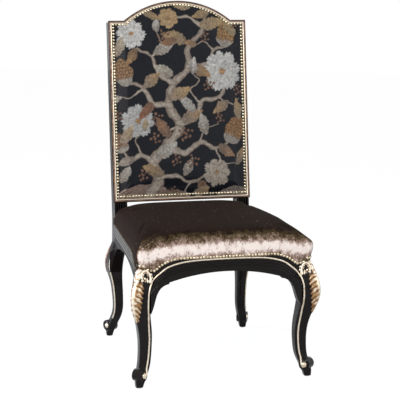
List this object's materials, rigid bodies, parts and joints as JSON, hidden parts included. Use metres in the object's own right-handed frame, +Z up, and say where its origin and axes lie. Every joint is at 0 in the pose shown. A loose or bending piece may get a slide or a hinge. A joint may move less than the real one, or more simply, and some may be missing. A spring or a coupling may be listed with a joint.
{
  "type": "dining side chair",
  "caption": "High-backed upholstered side chair on cabriole legs with scroll toes, arched back, carved gilt trim and nailed edges.",
  "frame": {"origin": "on the floor, under the middle of the overall box", "axes": "+X to the sitter's left, +Y to the rear of the chair, +Z up"},
  "size_m": [0.6068, 0.7112, 1.149],
  "materials": {
    "ebonised_frame": "ebonised and polished",
    "bare_hardwood": "sanded, unfinished",
    "gilt_moulding": "gilded over dark bole, rubbed",
    "velvet": "crushed pile",
    "figured_satin": "satin with a woven pattern",
    "rear_cloth": "plain satin weave",
    "foam": "open-cell",
    "wadding": "loose fibre",
    "webbing": "coarse weave",
    "hessian": "coarse plain weave",
    "dust_cloth": "non-woven",
    "nail_brass": "polished, slightly aged",
    "screw_steel": "zinc plated"
  },
  "bodies": {
    "root": {"front_leg_left": "ebonised_frame", "front_leg_right": "ebonised_frame", "back_post_left": "ebonised_frame", "back_post_right": "ebonised_frame", "front_seat_rail": "ebonised_frame", "side_seat_rail_left": "ebonised_frame", "side_seat_rail_right": "ebonised_frame", "knee_block_front_left": "ebonised_frame", "knee_block_front_right": "ebonised_frame", "knee_block_side_front_left": "ebonised_frame", "knee_block_side_front_right": "ebonised_frame", "knee_block_side_rear_left": "ebonised_frame", "knee_block_side_rear_right": "ebonised_frame", "crest_rail": "ebonised_frame", "rear_seat_rail": "ebonised_frame", "lower_back_rail": "bare_hardwood", "corner_block_front_left": "bare_hardwood", "corner_block_front_right": "bare_hardwood", "corner_block_rear_left": "bare_hardwood", "corner_block_rear_right": "bare_hardwood", "rail_dowels": "bare_hardwood", "back_rail_dowels": "bare_hardwood", "back_moulding_left": "gilt_moulding", "back_moulding_right": "gilt_moulding", "back_moulding_top": "gilt_moulding", "back_moulding_bottom": "gilt_moulding", "seat_cover": "velvet", "back_cover_front": "figured_satin", "back_cover_rear": "rear_cloth", "seat_foam": "foam", "back_foam": "foam", "seat_wadding": "wadding", "back_wadding_rear": "wadding", "seat_webbing_lengthwise": "webbing", "seat_webbing_crosswise": "webbing", "back_webbing_upright": "webbing", "back_webbing_crosswise": "webbing", "seat_hessian": "hessian", "back_hessian": "hessian", "seat_dust_cover": "dust_cloth", "seat_nails": "nail_brass", "back_nails_front": "nail_brass", "back_nails_rear": "nail_brass", "corner_block_screws": "screw_steel", "foot_glides": "screw_steel"}
  },
  "joints": []
}
